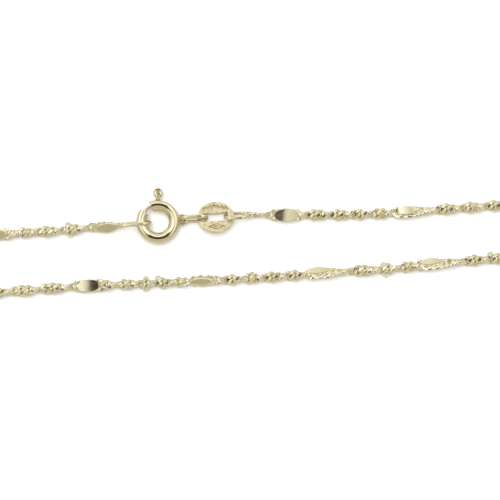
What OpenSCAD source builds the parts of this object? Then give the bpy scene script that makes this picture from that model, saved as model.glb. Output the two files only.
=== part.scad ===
// Fine twisted neck chain with flat mirrors, lying closed on a table.
// X runs along the two rows, Z is up from the table, and the origin is on the table
// at the middle of the loop.

/* [Chain] */
// Diameter that the twisted chain fills as it lies
chain_d = 1.4; // [1.2:0.1:1.5]
// Diameter of the chain where it is drawn in to its last link
chain_end_d = 0.8; // [0.6:0.1:1.0]
// Gap between a stretch of chain and the mirror beside it
chain_gap = 0.2; // [0.15:0.05:0.3]

/* [Mirrors] */
// Distance from one flat mirror to the next, measured along the chain
mirror_pitch = 14.2; // [14:0.05:14.25]
// Length of a mirror with its drawn-in ends
mirror_l = 3.3; // [2.6:0.1:3.4]
// Width of a mirror across its flat face
mirror_w = 1.6; // [1.2:0.1:1.7]
// Thickness of a mirror
mirror_t = 0.5; // [0.3:0.05:0.6]
// Largest roll of a mirror out of the flat, in degrees
mirror_roll = 30; // [0:5:35]

/* [Spring ring] */
// Radius from the clasp's middle to the middle of its tube
ring_r = 2.0; // [1.95:0.01:2.02]
// Diameter of the clasp's tube
ring_tube_d = 1.3; // [1.25:0.01:1.3]
// Diameter of the bore that the bolt slides in
bolt_bore_d = 0.64; // [0.6:0.02:0.7]
// Diameter of the bolt
bolt_d = 0.5; // [0.4:0.02:0.52]
// Turn of the bolt that opens the clasp, in degrees
bolt_travel = 40; // [36:1:44]
// Diameter of the thumb knob's flat head
knob_d = 1.18; // [1:0.02:1.3]
// Thickness of the thumb knob's flat head
knob_t = 0.5; // [0.4:0.05:0.6]
// Distance from the clasp's middle to the middle of the knob's head
knob_r = 3.52; // [3.4:0.02:3.7]
// Wire diameter of the eyelet soldered to the clasp
eyelet_wire_d = 0.3; // [0.28:0.01:0.32]

/* [Jump rings] */
// Length of the end ring that the clasp closes on
end_ring_l = 4.16; // [4.1:0.01:4.2]
// Height of the end ring
end_ring_h = 2.36; // [2.34:0.01:2.5]
// Wire diameter of the end ring
end_ring_wire_d = 0.45; // [0.4:0.01:0.46]
// Length of the link between the clasp and the tag
clasp_link_l = 3.48; // [3.46:0.01:3.5]
// Height of the link between the clasp and the tag
clasp_link_h = 1.9; // [1.8:0.05:2.1]
// Wire diameter of the link between the clasp and the tag
clasp_link_wire_d = 0.54; // [0.4:0.02:0.56]
// Length of the ring between the tag and the chain
tag_ring_l = 3.13; // [3.1:0.01:3.16]
// Height of the ring between the tag and the chain
tag_ring_h = 2.0; // [1.9:0.05:2.1]
// Wire diameter of the ring between the tag and the chain
tag_ring_wire_d = 0.42; // [0.38:0.01:0.44]

/* [Tag] */
// Length of the oval tag along the chain
tag_l = 4.5; // [4.4:0.05:4.6]
// Width of the oval tag across the chain
tag_w = 3.97; // [3.8:0.01:4.1]
// Thickness of the tag
tag_t = 0.3; // [0.25:0.01:0.34]
// Length of the slot through the tag
tag_slot_l = 3.08; // [3.05:0.01:3.12]
// Width of the slot at its ends
tag_slot_w = 1.14; // [1.1:0.02:1.2]
// How far each long side of the slot bows in at its middle
tag_slot_bow = 0.08; // [0:0.01:0.12]

/* [Hidden] */
$fn = 64;

// Sides of a tube, half height of a tube that stands on one of its sides
tube_sides = 8;
chain_z = chain_d / 2 * cos(180 / tube_sides);

// Middle line of the chain from the end ring round both turns to the tag's ring
ROUTE = [
    [-16.1, 4.05], [-24, 3.9], [-31, 3.9], [-45, 3.8], [-58, 3.8], [-70, 4.2], [-79, 6.0],
    [-86, 8.3], [-92, 8.4], [-97, 5.4], [-99, 0.4], [-97.4, -4.6], [-93, -7.9], [-87, -8.5],
    [-79, -6.5], [-70, -4.2], [-58, -3.4], [-45, -3.2], [-31, -3.2], [-20.4, -3.1],
    [-13.2, -3.3], [-6.3, -3.4], [0, -3.5], [8.3, -3.4], [16.5, -3.4], [22, -3.2], [31, -3.0],
    [45, -3.1], [58, -3.4], [70, -4.6], [79, -7.4], [86.5, -9.7], [93.5, -9.0], [97.8, -4.8],
    [99, 0.4], [97.2, 5.9], [92.6, 9.3], [86, 9.5], [79, 7.4], [70, 4.6], [58, 3.5],
    [45, 3.5], [31, 3.5], [19.3, 3.4], [13.5, 3.5], [8.4, 3.8], [4.7, 4.0], [0.4, 4.3]
];
route_steps = 12;
heading_step = 0.1;
turn_start_x = 64;
turn_pieces = 3;

// Mirrors: how many, where the first one lies, and the last one of the left half
mirror_count = 29;
first_mirror_s = 1.15;
last_left_mirror = 14;
// Middle share of a mirror that keeps its full width, the width share and the thickness of its ends
mirror_flat_share = 0.42;
mirror_tip_share = 0.3;
mirror_tip_t = 0.45;
// A mirror lies this much higher than the chain, so that it clears the table when rolled
mirror_lift = 0.12;
// Mirrors set by hand, in columns: number, shift along the chain, roll in degrees
MIRROR_SET = [
    [1, 0.6, -26], [2, -0.45, 8], [13, 0.95, 4], [14, 0.45, 46], [15, 0.85, -25],
    [16, 0.35, -20], [28, 0, 24], [29, 0.3, 3]
];
roll_step = 97;
// Length of the narrower end of the chain beside the tag's ring
end_split = 0.15;

// Where the clasp lies and how it leans on the end ring
clasp_at = [-11.03, 4.2, 1.017];
clasp_lean = 4;
gap_from = 111;
gap_to = 142;
bolt_from = 60;
bolt_to = 150;
bore_end_play = 3;
socket_play = 6;
knob_angle = 86;
neck_w = 0.6;
neck_t = 0.4;
slot_play = 0.05;
dimple_d = 0.4;
dimple_out = 0.12;
dimple_deep = 0.15;
eyelet_r = 0.55;
eyelet_out = 3.0;
eyelet_angle = 1.2;

// Where the rings and the tag lie: middle, lean from upright, turn on the table
end_ring_at = [-13.88, 4.11];
end_ring_lean = 7;
end_ring_turn = 1.4;
clasp_link_at = [-6.58, 4.3];
clasp_link_lean = -18;
tag_ring_at = [-1.405, 4.31];
tag_ring_lean = 23;
tag_at = [-3.95, 4.27, 0.92];
tag_lean = 18;
slot_shift = -0.02;
oval_points = 72;

// Two-digit name of mirror k
function mirror_name(k) = str("mirror_", k < 10 ? "0" : "", k);

// Smooth curve through points b and c, with neighbours a and d, at share t
function bend(a, b, c, d, t) =
    0.5 * (2 * b + (c - a) * t + (2 * a - 5 * b + 4 * c - d) * t * t
           + (3 * b - a - 3 * c + d) * t * t * t);

// Route with one mirrored point added before its start and after its end
route_n = len(ROUTE);
route_long = concat(
    [2 * ROUTE[0] - ROUTE[1]], ROUTE, [2 * ROUTE[route_n - 1] - ROUTE[route_n - 2]]
);
walk = concat(
    [for (i = [1:route_n - 1]) for (j = [0:route_steps - 1])
        bend(route_long[i - 1], route_long[i], route_long[i + 1], route_long[i + 2],
             j / route_steps)],
    [ROUTE[route_n - 1]]
);
walk_s = [
    for (i = 0, s = 0; i < len(walk);
         s = s + (i < len(walk) - 1 ? norm(walk[i + 1] - walk[i]) : 0), i = i + 1) s
];
x_by_s = [for (i = [0:len(walk) - 1]) [walk_s[i], walk[i].x]];
y_by_s = [for (i = [0:len(walk) - 1]) [walk_s[i], walk[i].y]];
route_l = walk_s[len(walk) - 1];

// Point on the route and its heading, at length s
function route_at(s) = [lookup(s, x_by_s), lookup(s, y_by_s)];
function heading_at(s) =
    let (d = route_at(min(s + heading_step, route_l)) - route_at(max(s - heading_step, 0)))
    atan2(d.y, d.x);

// Row of the hand-set table for mirror k, its shift and its roll
function set_row(k) = let (hit = [for (row = MIRROR_SET) if (row[0] == k) row])
    len(hit) > 0 ? hit[0] : undef;
function mirror_shift(k) = is_undef(set_row(k)) ? 0 : set_row(k)[1];
function mirror_turn(k) = is_undef(set_row(k)) ? mirror_roll * sin(roll_step * k) : set_row(k)[2];
function mirror_s(k) = first_mirror_s + mirror_pitch * (k - 1) + mirror_shift(k);

// Flattened ring of points round a middle, across a heading, rolled about it
function loop_points(middle, heading, half_w, half_h, roll) =
    [for (k = [0:tube_sides - 1])
        let (
            q = 360 * (k + 0.5) / tube_sides,
            stretch = 1 / cos(180 / tube_sides),
            w = half_w * cos(q) * stretch,
            h = half_h * sin(q) * stretch,
            side = w * cos(roll) - h * sin(roll),
            up = w * sin(roll) + h * cos(roll)
        )
        middle + [-sin(heading) * side, cos(heading) * side, up]];

// Closed tube over rings of points, given in order along it
module skin(rings) {
    last = len(rings) - 1;
    n = len(rings[0]);
    polyhedron(
        points = [for (r = rings) each r],
        faces = concat(
            [[for (k = [0:n - 1]) k]],
            [[for (k = [n - 1:-1:0]) last * n + k]],
            [for (i = [0:last - 1]) for (k = [0:n - 1])
                [i * n + k, (i + 1) * n + k, (i + 1) * n + (k + 1) % n]],
            [for (i = [0:last - 1]) for (k = [0:n - 1])
                [i * n + k, (i + 1) * n + (k + 1) % n, i * n + (k + 1) % n]]
        )
    );
}

// Half size of the chain at length s, which is less at the end beside the tag's ring
function chain_half(s) =
    (s > route_l - end_split ? chain_end_d : chain_d) / 2 * cos(180 / tube_sides);

// One loose stretch of chain between lengths a and b, in more pieces on a turn
module stretch(a, b) {
    on_turn = abs(route_at((a + b) / 2).x) > turn_start_x;
    pieces = on_turn ? turn_pieces : 1;
    skin([
        for (i = [0:pieces])
            let (s = a + (b - a) * i / pieces, r = chain_half(s))
            loop_points(concat(route_at(s), chain_z), heading_at(s), r, r, 0)
    ]);
}

// Length at which the stretch after mirror k starts, and the one before it ends
function after_mirror(k) = mirror_s(k) + mirror_l / 2 + chain_gap;
function before_mirror(k) = mirror_s(k) - mirror_l / 2 - chain_gap;

// Middle of the stretch where the two halves of the chain meet
halves_meet_s = (after_mirror(last_left_mirror) + before_mirror(last_left_mirror + 1)) / 2;

// Stretches of chain from the end ring, round the left turn, to the middle of the lower row
module chain_left() {
    color("#d9c46e") {
        for (k = [1:last_left_mirror - 1]) stretch(after_mirror(k), before_mirror(k + 1));
        stretch(after_mirror(last_left_mirror), halves_meet_s);
    }
}

// Stretches of chain from the middle of the lower row, round the right turn, to the tag's ring
module chain_right() {
    color("#d9c46e") {
        stretch(halves_meet_s, before_mirror(last_left_mirror + 1));
        for (k = [last_left_mirror + 1:mirror_count - 1])
            stretch(after_mirror(k), before_mirror(k + 1));
        stretch(after_mirror(mirror_count), route_l);
    }
}

// Mirror k, a straight pressed leaf with a flat middle and drawn-in ends
module mirror_leaf(k) {
    s = mirror_s(k);
    a = heading_at(s);
    middle = concat(route_at(s), chain_z + mirror_lift);
    half_l = mirror_l / 2;
    flat = half_l * mirror_flat_share;
    color("#e9e4c4")
        skin([
            for (at = [[-half_l, 0], [-flat, 1], [flat, 1], [half_l, 0]])
                let (
                    half_w = mirror_w / 2 * (at[1] == 1 ? 1 : mirror_tip_share),
                    half_t = (at[1] == 1 ? mirror_t : mirror_tip_t) / 2
                )
                loop_points(middle + at[0] * [cos(a), sin(a), 0], a, half_w, half_t, mirror_turn(k))
        ]);
}

// Moves a clasp part from the clasp's own middle to where the clasp lies
module in_clasp() {
    translate(clasp_at) rotate([0, clasp_lean, 0]) children();
}

// Part of a ring of round wire, from one angle to another, in the XY plane
module wire_arc(r, d, from, to) {
    rotate([0, 0, from]) rotate_extrude(angle = to - from) translate([r, 0]) circle(d = d);
}

// Clasp tube with its mouth, the bolt's bore, the knob's slot and the soldered eyelet
module spring_ring_body() {
    slot_half = asin((neck_w / 2 + slot_play) / ring_r);
    color("#e3c878")
        in_clasp() difference() {
            union() {
                wire_arc(ring_r, ring_tube_d, gap_to, gap_from + 360);
                rotate([0, 0, eyelet_angle]) translate([eyelet_out, 0, 0])
                    rotate_extrude() translate([eyelet_r, 0]) circle(d = eyelet_wire_d);
            }
            wire_arc(ring_r, bolt_bore_d, bolt_from - bolt_travel - bore_end_play, gap_from + 1);
            wire_arc(ring_r, bolt_bore_d, gap_to - 1, bolt_to + socket_play);
            rotate([0, 0, knob_angle - bolt_travel - slot_half])
                rotate_extrude(angle = bolt_travel + 2 * slot_half)
                    translate([ring_r, -neck_t / 2 - slot_play])
                        square([ring_tube_d, neck_t + 2 * slot_play]);
        }
}

// Bolt that closes the mouth, with its neck and its flat thumb knob, as one piece
module spring_ring_bolt() {
    color("#e9d38b")
        in_clasp() {
            wire_arc(ring_r, bolt_d, bolt_from, bolt_to);
            rotate([0, 0, knob_angle]) {
                translate([ring_r, -neck_w / 2, -neck_t / 2]) cube([knob_r - ring_r, neck_w, neck_t]);
                difference() {
                    translate([knob_r, 0, -knob_t / 2]) cylinder(d = knob_d, h = knob_t);
                    translate([knob_r + dimple_out, 0, knob_t / 2 - dimple_deep])
                        cylinder(d = dimple_d, h = knob_t);
                }
            }
        }
}

// Closed oval ring of round wire with straight sides, standing in the XZ plane
module oval_ring(length, height, wire_d) {
    bend_r = (height - wire_d) / 2;
    straight = length - height;
    rotate([90, 0, 0]) {
        for (side = [0, 180]) rotate([0, 0, side]) {
            translate([straight / 2, 0, 0]) wire_arc(bend_r, wire_d, -90, 90);
            translate([-straight / 2, bend_r, 0]) rotate([0, 90, 0]) cylinder(d = wire_d, h = straight);
        }
    }
}

// Sets a standing ring on the table, its top leaning towards -Y by the angle lean
module stand_ring(at, height, wire_d, lean, turn) {
    z = (height - wire_d) / 2 * cos(lean) + wire_d / 2;
    translate([at.x, at.y, z]) rotate([lean, 0, turn]) children();
}

// Ring at the chain's left end, round the clasp's tube
module end_ring() {
    color("#dcc274")
        stand_ring(end_ring_at, end_ring_h, end_ring_wire_d, end_ring_lean, end_ring_turn)
            oval_ring(end_ring_l, end_ring_h, end_ring_wire_d);
}

// Link from the clasp's eyelet to the tag
module clasp_link() {
    color("#d8bd6c")
        stand_ring(clasp_link_at, clasp_link_h, clasp_link_wire_d, clasp_link_lean, 0)
            oval_ring(clasp_link_l, clasp_link_h, clasp_link_wire_d);
}

// Ring from the tag to the chain's right end
module tag_ring() {
    color("#dcc274")
        stand_ring(tag_ring_at, tag_ring_h, tag_ring_wire_d, tag_ring_lean, 0)
            oval_ring(tag_ring_l, tag_ring_h, tag_ring_wire_d);
}

// Outline of the slot: a rectangle whose long sides bow in by the given amount
module slot_outline() {
    half_l = tag_slot_l / 2;
    function bowed(x) = tag_slot_w / 2 - tag_slot_bow * (1 - (x / half_l) * (x / half_l));
    xs = [for (i = [-8:8]) half_l * i / 8];
    polygon(concat(
        [for (x = xs) [x, -bowed(x)]],
        [for (i = [len(xs) - 1:-1:0]) [xs[i], bowed(xs[i])]]
    ));
}

// Flat oval tag with a long slot, leaning with its far edge on the table
module tag() {
    color("#d6c17d")
        translate(tag_at) rotate([-tag_lean, 0, 0]) translate([0, 0, -tag_t / 2])
            linear_extrude(tag_t) difference() {
                polygon([
                    for (i = [0:oval_points - 1])
                        let (q = 360 * i / oval_points) [tag_l / 2 * cos(q), tag_w / 2 * sin(q)]
                ]);
                translate([slot_shift, 0]) slot_outline();
            }
}

spring_ring_body();
spring_ring_bolt();
end_ring();
clasp_link();
tag();
tag_ring();
chain_left();
chain_right();
for (k = [1:mirror_count]) mirror_leaf(k);
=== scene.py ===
"""Fine twisted neck chain with flat mirrors, laid in two rows on a pale table.

The small links, the pressed mirrors, the clasp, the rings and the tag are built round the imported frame. The
classes hold their sizes in millimetres, and each mesh is turned into metres as it is made.
"""

from __future__ import annotations

import logging
import math
from dataclasses import dataclass, field
from enum import Enum
from functools import cached_property

import bpy
import numpy as np
from mathutils import Matrix, Vector


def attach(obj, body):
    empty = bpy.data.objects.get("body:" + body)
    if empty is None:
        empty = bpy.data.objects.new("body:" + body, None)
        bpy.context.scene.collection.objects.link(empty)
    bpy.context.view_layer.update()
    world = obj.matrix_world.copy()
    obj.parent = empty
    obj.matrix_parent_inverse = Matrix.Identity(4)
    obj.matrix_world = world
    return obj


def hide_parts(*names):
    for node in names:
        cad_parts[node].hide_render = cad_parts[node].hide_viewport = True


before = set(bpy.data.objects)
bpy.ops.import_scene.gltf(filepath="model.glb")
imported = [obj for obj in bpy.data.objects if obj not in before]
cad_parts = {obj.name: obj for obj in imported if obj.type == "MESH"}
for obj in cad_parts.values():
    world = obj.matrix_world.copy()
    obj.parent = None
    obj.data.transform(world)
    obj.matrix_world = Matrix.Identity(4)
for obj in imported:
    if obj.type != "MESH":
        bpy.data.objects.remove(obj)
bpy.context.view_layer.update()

log = logging.getLogger("neck_chain")

MM = 0.001
FULL_TURN = 2 * math.pi
TINY = 1e-9
Array = np.ndarray
Colour = tuple[float, float, float]


class Slot(Enum):
    """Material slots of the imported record."""

    CHAIN = "chain_gold"
    MIRROR = "mirror_gold"
    CLASP = "clasp_gold"
    RING = "ring_gold"
    TAG = "tag_gold"


class Body(Enum):
    """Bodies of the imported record."""

    NECKLACE = "necklace"
    BOLT = "bolt"


def turned(axis: str, degrees: float) -> Array:
    """Rotation matrix about a named axis.

    Args:
        axis: "X", "Y" or "Z".
        degrees: angle by the right-hand rule.

    Returns:
        A 3 by 3 array.
    """
    return np.array(Matrix.Rotation(math.radians(degrees), 3, axis))


def smooth_step(x: Array) -> Array:
    """Eases x from 0 to 1 and holds it outside that range."""
    x = np.clip(x, 0.0, 1.0)
    return x * x * (3.0 - 2.0 * x)


def grid_faces(rows: int, columns: int, close_rows: bool, close_columns: bool,
               keep: Array | None = None) -> Array:
    """Square faces of a grid of points.

    Args:
        rows: rows of points.
        columns: points in a row.
        close_rows: joins the last row to the first.
        close_columns: joins the last column to the first.
        keep: mask of the faces that are made, or None for all.

    Returns:
        Faces by 4 array of point numbers.
    """
    i = np.arange(rows if close_rows else rows - 1)[:, None]
    j = np.arange(columns if close_columns else columns - 1)[None]
    below, beside = (i + 1) % rows, (j + 1) % columns
    quads = np.stack(np.broadcast_arrays(i * columns + j, below * columns + j,
                                         below * columns + beside, i * columns + beside), -1)
    return quads[keep] if keep is not None else quads.reshape(-1, 4)


def mark_crisp_edges(mesh: bpy.types.Mesh, facets: Array) -> None:
    """Marks each edge between two facets, or between a facet and the smooth rest, as sharp.

    Args:
        mesh: the mesh.
        facets: facet number of each face.
    """
    edge_of_corner = np.empty(len(mesh.loops), dtype=np.int32)
    mesh.loops.foreach_get("edge_index", edge_of_corner)
    totals = np.empty(len(mesh.polygons), dtype=np.int32)
    mesh.polygons.foreach_get("loop_total", totals)
    facet_of_corner = np.repeat(facets, totals)
    low = np.full(len(mesh.edges), np.iinfo(np.int32).max)
    high = np.full(len(mesh.edges), -1)
    np.minimum.at(low, edge_of_corner, facet_of_corner)
    np.maximum.at(high, edge_of_corner, facet_of_corner)
    sharp = mesh.attributes.new("sharp_edge", "BOOLEAN", "EDGE")
    sharp.data.foreach_set("value", low != high)


@dataclass
class Form:
    """Points and faces of one piece while it is shaped, in millimetres.

    Faces that share a facet number above 0 are one flat cut, and the edges round it stay crisp.
    """

    points: list[Array] = field(default_factory=list)
    faces: list[list[int]] = field(default_factory=list)
    facets: list[int] = field(default_factory=list)
    count: int = 0

    def add(self, points: Array, faces: Array, facets: Array | None = None) -> None:
        """Adds loose points with faces that count from the first of them.

        Args:
            points: n by 3 array.
            faces: rows of point numbers.
            facets: facet number of each face, or None for none.
        """
        self.points.append(points)
        self.faces.extend((np.asarray(faces) + self.count).tolist())
        self.facets.extend([0] * len(faces) if facets is None else facets.tolist())
        self.count += len(points)

    def add_grid(self, grid: Array, close_rows: bool = False, close_columns: bool = False,
                 keep: Array | None = None) -> int:
        """Adds a grid of points with a square face between each four.

        Args:
            grid: rows by columns by 3 array.
            close_rows: joins the last row to the first.
            close_columns: joins the last column to the first.
            keep: rows by columns mask of the faces that are made, or None for all.

        Returns:
            Number of the grid's first point.
        """
        start = self.count
        rows, columns = grid.shape[:2]
        self.add(grid.reshape(-1, 3), grid_faces(rows, columns, close_rows, close_columns, keep))
        return start

    def add_cap(self, corners: list[int], facet: int = 1) -> None:
        """Closes an outline of points that are already there with one flat face.

        Args:
            corners: point numbers in order.
            facet: facet number of the face.
        """
        self.faces.append(corners)
        self.facets.append(facet)

    def cap_ends(self, start: int, columns: int) -> None:
        """Closes both ends of the tube that was added last.

        Args:
            start: number of its first point.
            columns: points in each of its sections.
        """
        self.add_cap(list(range(start + columns - 1, start - 1, -1)))
        self.add_cap(list(range(self.count - columns, self.count)))

    def add_copies(self, faces: Array, facets: Array, placed: Array) -> None:
        """Adds many links that share their faces.

        Args:
            faces: faces of one link.
            facets: links by faces array of facet numbers.
            placed: links by points by 3 array of where the points go.
        """
        copies, each = placed.shape[:2]
        shift = (np.arange(copies) * each)[:, None, None]
        self.add(placed.reshape(-1, 3), (faces[None] + shift).reshape(-1, faces.shape[1]),
                 facets.reshape(-1))

    def build(self, name: str, material: bpy.types.Material) -> bpy.types.Object:
        """Makes the object and links it into the scene.

        Args:
            name: name of the piece.
            material: its finish.

        Returns:
            The new object, smooth but for the edges of its flat cuts.
        """
        mesh = bpy.data.meshes.new(name)
        mesh.from_pydata((np.concatenate(self.points) * MM).tolist(), [], self.faces)
        mesh.shade_smooth()
        mark_crisp_edges(mesh, np.array(self.facets))
        mesh.materials.append(material)
        piece = bpy.data.objects.new(name, mesh)
        bpy.context.scene.collection.objects.link(piece)
        return piece


def seat(piece: bpy.types.Object, body: Body, slot: Slot, *nodes: str) -> None:
    """Attaches a piece to its body, hides the plain solids that it stands for, and reports it.

    Args:
        piece: the piece, in its place.
        body: the body that it moves with.
        slot: not used.
        nodes: the plain solids that it stands for.
    """
    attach(piece, body.value)
    if nodes:
        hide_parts(*nodes)
    log.info("%s: %d faces on %s", piece.name, len(piece.data.polygons), body.value)


def arc(radius: float | Array, angles: Array) -> Array:
    """Points at a radius from the origin at angles in radians, n by 2."""
    return radius * np.stack([np.cos(angles), np.sin(angles)], -1)


def level_ring(points: Array, level: Array | float) -> Array:
    """Flat points, n by 2, with a level or one for each, as n by 3."""
    return np.column_stack([points, np.broadcast_to(level, len(points))])


def round_section(radius: float, sides: int) -> Array:
    """Points of a round section, sides by 2, as offsets outward and upward."""
    return arc(radius, np.arange(sides) / sides * FULL_TURN)


def oval_wire(length: float, height: float, wire: float, turns: int = 40, sides: int = 16) -> Array:
    """Closed ring of round wire with straight sides, standing in the XZ plane round the origin.

    Args:
        length: outer length along X.
        height: outer height along Z.
        wire: diameter of the wire.
        turns: steps round each of its two bends.
        sides: sides of the wire.

    Returns:
        Rows by sides by 3 array of points.
    """
    q = np.linspace(-math.pi / 2, math.pi / 2, turns)
    q = np.concatenate([q, q + math.pi])
    bend_r, half_straight = (height - wire) / 2, (length - height) / 2
    section = round_section(wire / 2, sides)
    out = bend_r + section[None, :, 0]
    end = np.sign(np.cos(q) + TINY * np.sign(q.mean() - q))[:, None]
    x = np.cos(q)[:, None] * out + end * half_straight
    z = np.sin(q)[:, None] * out
    return np.stack([x, np.broadcast_to(-section[None, :, 1], x.shape), z], -1)


@dataclass(frozen=True)
class Route:
    """Middle line of the chain on the table, a smooth curve through listed points."""

    points: tuple[tuple[float, float], ...] = (
        (-16.1, 4.05), (-24, 3.9), (-31, 3.9), (-45, 3.8), (-58, 3.8), (-70, 4.2), (-79, 6.0),
        (-86, 8.3), (-92, 8.4), (-97, 5.4), (-99, 0.4), (-97.4, -4.6), (-93, -7.9), (-87, -8.5),
        (-79, -6.5), (-70, -4.2), (-58, -3.4), (-45, -3.2), (-31, -3.2), (-20.4, -3.1),
        (-13.2, -3.3), (-6.3, -3.4), (0, -3.5), (8.3, -3.4), (16.5, -3.4), (22, -3.2), (31, -3.0),
        (45, -3.1), (58, -3.4), (70, -4.6), (79, -7.4), (86.5, -9.7), (93.5, -9.0), (97.8, -4.8),
        (99, 0.4), (97.2, 5.9), (92.6, 9.3), (86, 9.5), (79, 7.4), (70, 4.6), (58, 3.5),
        (45, 3.5), (31, 3.5), (19.3, 3.4), (13.5, 3.5), (8.4, 3.8), (4.7, 4.0), (0.4, 4.3),
    )
    steps: int = 12
    heading_step: float = 0.1

    @cached_property
    def walk(self) -> Array:
        """Close points along the curve, n by 2."""
        p = np.array(self.points)
        p = np.concatenate([[2 * p[0] - p[1]], p, [2 * p[-1] - p[-2]]])
        a, b, c, d = (p[i:len(p) - 3 + i, None, :] for i in range(4))
        t = (np.arange(self.steps) / self.steps)[None, :, None]
        curve = 0.5 * (2 * b + (c - a) * t + (2 * a - 5 * b + 4 * c - d) * t**2
                       + (3 * b - a - 3 * c + d) * t**3)
        return np.concatenate([curve.reshape(-1, 2), p[-2:-1]])

    @cached_property
    def lengths(self) -> Array:
        """Length along the curve at each of the close points."""
        hops = np.linalg.norm(np.diff(self.walk, axis=0), axis=1)
        return np.concatenate([[0.0], np.cumsum(hops)])

    @property
    def length(self) -> float:
        """Length of the whole curve."""
        return float(self.lengths[-1])

    def at(self, s: Array) -> Array:
        """Points at lengths s along the curve."""
        return np.stack([np.interp(s, self.lengths, self.walk[:, i]) for i in (0, 1)], -1)

    def heading(self, s: Array) -> Array:
        """Directions along the curve.

        Args:
            s: lengths along the curve.

        Returns:
            n by 2 array of unit vectors.
        """
        ahead = self.at(np.minimum(s + self.heading_step, self.length))
        along = ahead - self.at(np.maximum(s - self.heading_step, 0.0))
        return along / np.linalg.norm(along, axis=-1, keepdims=True)

    def axes(self, s: Array, roll: Array) -> Array:
        """Directions along, across and out of the chain's ribbon.

        Args:
            s: lengths along the curve.
            roll: turn of the ribbon out of the flat there, in degrees.

        Returns:
            n by 3 by 3 array: for each length, the rows are along, across and out.
        """
        along = np.concatenate([self.heading(s), np.zeros((len(s), 1))], -1)
        side = np.stack([-along[:, 1], along[:, 0], np.zeros(len(s))], -1)
        up = np.broadcast_to([0.0, 0.0, 1.0], side.shape)
        c, k = np.cos(np.radians(roll))[:, None], np.sin(np.radians(roll))[:, None]
        return np.stack([along, c * side + k * up, c * up - k * side], 1)


@dataclass(frozen=True)
class MirrorSetting:
    """How one mirror is set: its place and roll, and the size, place and slopes of its polished face.

    Shift is along the chain. Nudge and aside place the face on the leaf. Bow, tip, lean and wind are slopes
    in degrees: over its length, from end to end, across, and how that changes along it. Square is how full
    its corners are. A framed mirror is the face alone, with links round it.
    """

    shift: float
    roll: float
    face: float = 2.3
    nudge: float = 0.0
    aside: float = 0.0
    bow: float = 5.0
    tip: float = 0.0
    lean: float = 0.0
    width: float = 1.3
    square: float = 3.2
    wind: float = 0.0
    framed: bool = False


@dataclass(frozen=True)
class MirrorRow:
    """Where the pressed mirrors lie along the chain."""

    count: int = 29
    first: float = 1.15
    pitch: float = 14.2
    largest_roll: float = 30.0
    roll_step: float = 97.0
    largest_slope: float = 6.0
    slope_step: float = 61.0
    set_by_hand: dict[int, MirrorSetting] = field(default_factory=lambda: {
        1: MirrorSetting(0.6, -26, 2.5, -0.55, 0.06, 5, 0, 0, 1.16, 1.7, 0, True),
        2: MirrorSetting(-0.45, -24, 2.5, 0, -0.1, 5, 0, 0, 1.2, 2.2, 0, True),
        13: MirrorSetting(0.95, 4, 2.5, -0.02, 0.06, 2.6, 1.3, 2, 1.4, 2.6, 0, True),
        14: MirrorSetting(0.45, 28, 2.9, 0.05, 0.12, 4, 0, 0, 0.8, 1.5, 0, True),
        15: MirrorSetting(0.85, -33, 2.9, -0.25, 0.28, 4, 0, 2.5, 0.86, 1.6, -2.5, True),
        16: MirrorSetting(0.35, -33, 2.7, 0.0, 0.28, 4, 0, 2.5, 0.86, 1.6, -2.5, True),
        28: MirrorSetting(0.0, 26, 2.5, -0.3, -0.1, 4, 0, 0, 1.1, 1.9, -14, True),
        29: MirrorSetting(0.3, -10, 2.9, -0.13, -0.03, 6, 4.5, -2, 1.52, 2.2, 5, True),
    })

    def setting(self, number: int) -> MirrorSetting:
        """How a mirror is set, worked out where it isn't listed.

        Args:
            number: its number along the chain.

        Returns:
            Its setting.
        """
        roll = self.largest_roll * math.sin(math.radians(self.roll_step * number))
        slope = self.largest_slope * math.sin(math.radians(self.slope_step * number))
        return self.set_by_hand.get(number, MirrorSetting(0.0, roll, tip=slope, lean=-slope))

    def place(self, number: int) -> float:
        """Length along the chain at a mirror's middle."""
        return self.first + self.pitch * (number - 1) + self.setting(number).shift


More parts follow.
